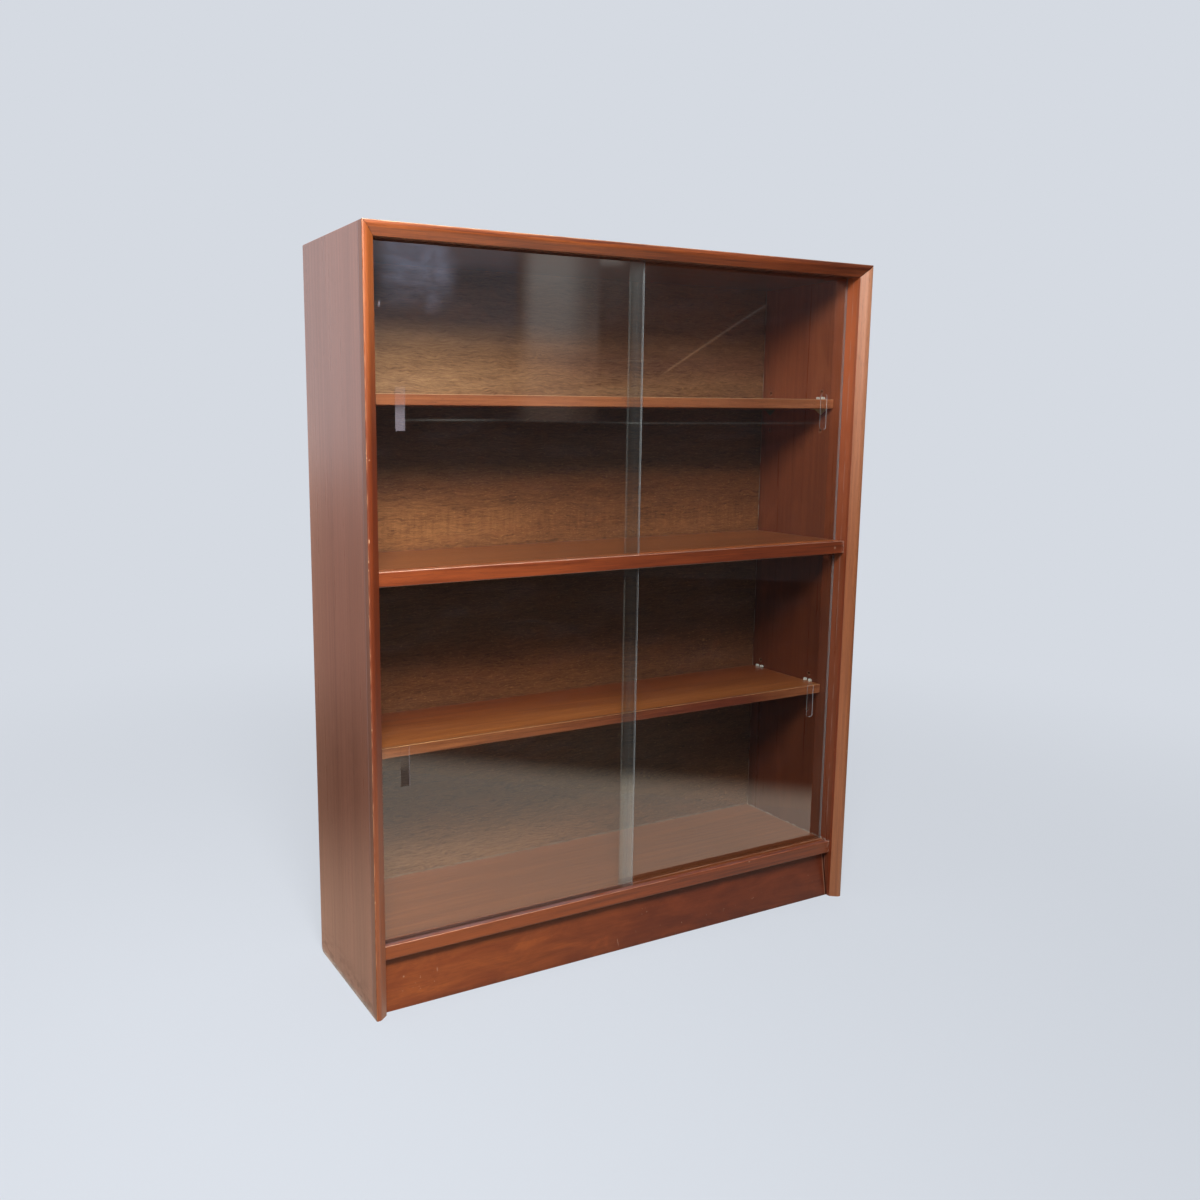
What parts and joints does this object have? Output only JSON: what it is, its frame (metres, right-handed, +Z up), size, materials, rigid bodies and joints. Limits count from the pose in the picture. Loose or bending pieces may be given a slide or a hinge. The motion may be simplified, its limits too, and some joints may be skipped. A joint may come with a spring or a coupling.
{
  "type": "bookcase with sliding glass doors",
  "caption": "Low bookcase in veneered board with bevelled lippings, a fixed middle shelf, adjustable shelves and sliding glass doors above and below.",
  "frame": {"origin": "middle of the footprint, at floor level", "axes": "+X to the right of someone facing the doors, +Y to the back, +Z up"},
  "size_m": [0.914, 0.246, 1.123],
  "materials": {
    "side_veneer": "satin lacquered red-brown veneer, straight grain",
    "solid_lipping": "gloss lacquered red-brown hardwood, arrises worn pale",
    "shelf_veneer": "satin lacquered red-brown veneer",
    "plinth_wood": "semi-gloss stained red-brown board",
    "back_ply": "thinly stained plywood with streaky grain",
    "hidden_wood": "raw beech and birch ply",
    "pane_glass": "clear sheet glass with ground edges",
    "support_metal": "dulled nickel plate",
    "pin_steel": "darkened steel"
  },
  "bodies": {
    "carcass": {"left_side_panel": "side_veneer", "right_side_panel": "side_veneer", "top_panel": "side_veneer", "left_front_lipping": "solid_lipping", "right_front_lipping": "solid_lipping", "top_front_lipping": "solid_lipping", "bottom_board_lipping": "solid_lipping", "middle_shelf_lipping": "solid_lipping", "upper_shelf_lipping": "solid_lipping", "lower_shelf_lipping": "solid_lipping", "bottom_board": "shelf_veneer", "middle_shelf": "shelf_veneer", "upper_adjustable_shelf": "shelf_veneer", "lower_adjustable_shelf": "shelf_veneer", "mitre_tongues": "hidden_wood", "carcass_dowels": "hidden_wood", "plinth_glue_blocks": "hidden_wood", "upper_left_front_support": "support_metal", "upper_left_rear_support": "support_metal", "upper_right_front_support": "support_metal", "upper_right_rear_support": "support_metal", "lower_left_front_support": "support_metal", "lower_left_rear_support": "support_metal", "lower_right_front_support": "support_metal", "lower_right_rear_support": "support_metal", "plinth_board": "plinth_wood", "back_panel": "back_ply", "back_panel_pins": "pin_steel"},
    "upper_left_door": {"upper_left_glass_pane": "pane_glass"},
    "upper_right_door": {"upper_right_glass_pane": "pane_glass"},
    "lower_left_door": {"lower_left_glass_pane": "pane_glass"},
    "lower_right_door": {"lower_right_glass_pane": "pane_glass"}
  },
  "joints": [
    {"name": "upper_left_door_slide", "type": "slide", "parent": "carcass", "child": "upper_left_door", "axis": [1, 0, 0], "range_m": [0, 0.4275]},
    {"name": "upper_right_door_slide", "type": "slide", "parent": "carcass", "child": "upper_right_door", "axis": [1, 0, 0], "range_m": [-0.4275, 0]},
    {"name": "lower_left_door_slide", "type": "slide", "parent": "carcass", "child": "lower_left_door", "axis": [1, 0, 0], "range_m": [0, 0.4275]},
    {"name": "lower_right_door_slide", "type": "slide", "parent": "carcass", "child": "lower_right_door", "axis": [1, 0, 0], "range_m": [-0.4275, 0]}
  ]
}
